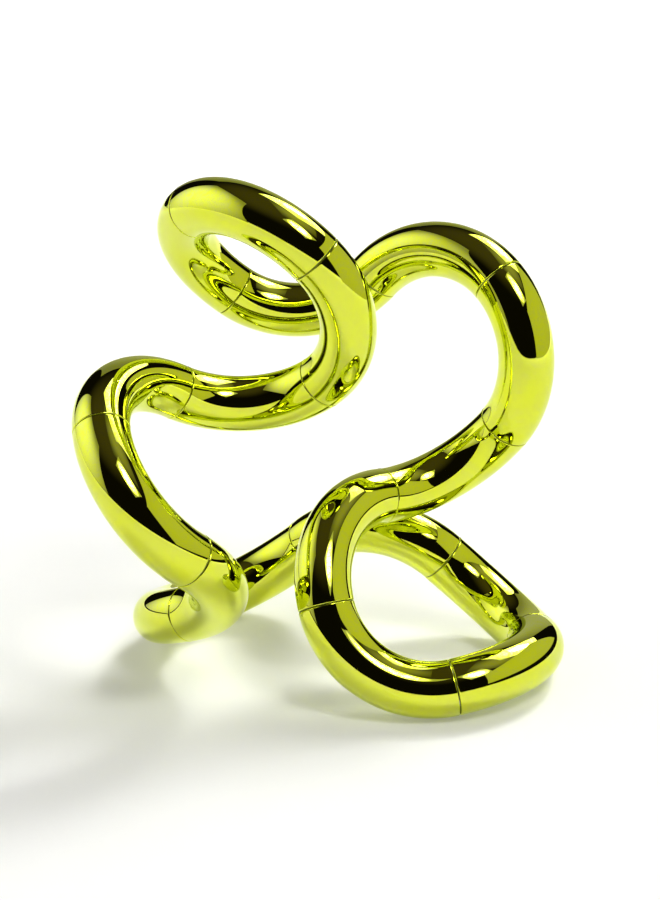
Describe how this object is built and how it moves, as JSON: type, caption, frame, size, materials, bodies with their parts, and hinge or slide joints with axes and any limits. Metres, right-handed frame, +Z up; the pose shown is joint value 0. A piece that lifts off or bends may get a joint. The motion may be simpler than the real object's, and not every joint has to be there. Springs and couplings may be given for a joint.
{
  "type": "twist-and-fold loop puzzle",
  "caption": "Twist-and-fold hand puzzle: a closed loop of quarter-bend plated tubes, each turning on the next, that stands free on its own bends.",
  "frame": {"origin": "centre of the footprint on the table that the loop stands on", "axes": "+Z up, +X to the right and -Y towards a viewer in front of the small raised ring"},
  "size_m": [0.0809, 0.061, 0.0857],
  "materials": {
    "plated_lime": "lime-tinted mirror plating over moulded ABS",
    "acetal": "moulded, natural white"
  },
  "bodies": {
    "link_01": {"link_01_shell": "plated_lime", "link_01_plug": "acetal"},
    "link_02": {"link_02_shell": "plated_lime", "link_02_plug": "acetal"},
    "link_03": {"link_03_shell": "plated_lime", "link_03_plug": "acetal"},
    "link_04": {"link_04_shell": "plated_lime", "link_04_plug": "acetal"},
    "link_05": {"link_05_shell": "plated_lime", "link_05_plug": "acetal"},
    "link_06": {"link_06_shell": "plated_lime", "link_06_plug": "acetal"},
    "link_07": {"link_07_shell": "plated_lime", "link_07_plug": "acetal"},
    "link_08": {"link_08_shell": "plated_lime", "link_08_plug": "acetal"},
    "link_09": {"link_09_shell": "plated_lime", "link_09_plug": "acetal"},
    "link_10": {"link_10_shell": "plated_lime", "link_10_plug": "acetal"},
    "link_11": {"link_11_shell": "plated_lime", "link_11_plug": "acetal"},
    "link_12": {"link_12_shell": "plated_lime", "link_12_plug": "acetal"},
    "link_13": {"link_13_shell": "plated_lime", "link_13_plug": "acetal"},
    "link_14": {"link_14_shell": "plated_lime", "link_14_plug": "acetal"},
    "link_15": {"link_15_shell": "plated_lime", "link_15_plug": "acetal"},
    "link_16": {"link_16_shell": "plated_lime", "link_16_plug": "acetal"},
    "link_17": {"link_17_shell": "plated_lime", "link_17_plug": "acetal"},
    "link_18": {"link_18_shell": "plated_lime", "link_18_plug": "acetal"}
  },
  "joints": [
    {"name": "pivot_01_02", "type": "hinge", "parent": "link_02", "child": "link_01", "pos_m": [-0.00259, 0.02371, 0.01471], "axis": [0.6078, -0.4407, 0.6606], "continuous": true},
    {"name": "pivot_02_03", "type": "hinge", "parent": "link_03", "child": "link_02", "pos_m": [0.02082, 0.0157, 0.01431], "axis": [0.7301, -0.017, -0.6831], "range_deg": [0, 140]},
    {"name": "pivot_03_04", "type": "hinge", "parent": "link_04", "child": "link_03", "pos_m": [0.03571, -0.00176, 0.00505], "axis": [0.1208, -0.9807, 0.1536], "continuous": true},
    {"name": "pivot_04_05", "type": "hinge", "parent": "link_05", "child": "link_04", "pos_m": [0.02073, -0.02146, 0.00499], "axis": [-0.977, -0.1449, -0.1567], "range_deg": [0, 180]},
    {"name": "pivot_05_06", "type": "hinge", "parent": "link_06", "child": "link_05", "pos_m": [0.00004, -0.01629, 0.01755], "axis": [-0.2055, 0.4404, 0.8739], "range_deg": [-15, 0]},
    {"name": "pivot_06_07", "type": "hinge", "parent": "link_07", "child": "link_06", "pos_m": [0.00956, 0.00271, 0.03023], "axis": [0.7495, 0.6451, -0.1489], "range_deg": [0, 65]},
    {"name": "pivot_07_08", "type": "hinge", "parent": "link_08", "child": "link_07", "pos_m": [0.03128, 0.00714, 0.04124], "axis": [0.4916, -0.3917, 0.7777], "range_deg": [-20, 0]},
    {"name": "pivot_08_09", "type": "hinge", "parent": "link_09", "child": "link_08", "pos_m": [0.03017, 0.00986, 0.06581], "axis": [-0.5552, 0.5471, 0.6265], "range_deg": [-180, 0]},
    {"name": "pivot_09_10", "type": "hinge", "parent": "link_10", "child": "link_09", "pos_m": [0.00951, 0.02333, 0.06368], "axis": [-0.6252, 0.2223, -0.7482], "range_deg": [-180, 0]},
    {"name": "pivot_10_11", "type": "hinge", "parent": "link_10", "child": "link_11", "pos_m": [-0.01507, 0.02486, 0.06129], "axis": [-0.7797, -0.1347, 0.6115], "range_deg": [0, 35]},
    {"name": "pivot_11_12", "type": "hinge", "parent": "link_11", "child": "link_12", "pos_m": [-0.02071, 0.0087, 0.07917], "axis": [0.458, -0.7886, 0.4103], "range_deg": [-180, 0]},
    {"name": "pivot_12_13", "type": "hinge", "parent": "link_12", "child": "link_13", "pos_m": [-0.0007, -0.00477, 0.07361], "axis": [0.685, 0.0189, -0.7283], "range_deg": [-180, 0]},
    {"name": "pivot_13_14", "type": "hinge", "parent": "link_13", "child": "link_14", "pos_m": [0.00002, 0.00402, 0.05048], "axis": [-0.6439, 0.4833, -0.5931], "range_deg": [0, 45]},
    {"name": "pivot_14_15", "type": "hinge", "parent": "link_14", "child": "link_15", "pos_m": [-0.02464, 0.00517, 0.04868], "axis": [0.765, 0.418, -0.49], "range_deg": [-30, 0]},
    {"name": "pivot_15_16", "type": "hinge", "parent": "link_15", "child": "link_16", "pos_m": [-0.03563, -0.01701, 0.04832], "axis": [0.1368, -0.8489, -0.5106], "range_deg": [-180, 0]},
    {"name": "pivot_16_17", "type": "hinge", "parent": "link_16", "child": "link_17", "pos_m": [-0.02183, -0.02372, 0.0289], "axis": [0.6518, 0.4653, -0.5989], "range_deg": [-160, 0]},
    {"name": "pivot_17_18", "type": "hinge", "parent": "link_17", "child": "link_18", "pos_m": [-0.02324, -0.00523, 0.01251], "axis": [0.7323, -0.5913, 0.3377], "continuous": true}
  ]
}
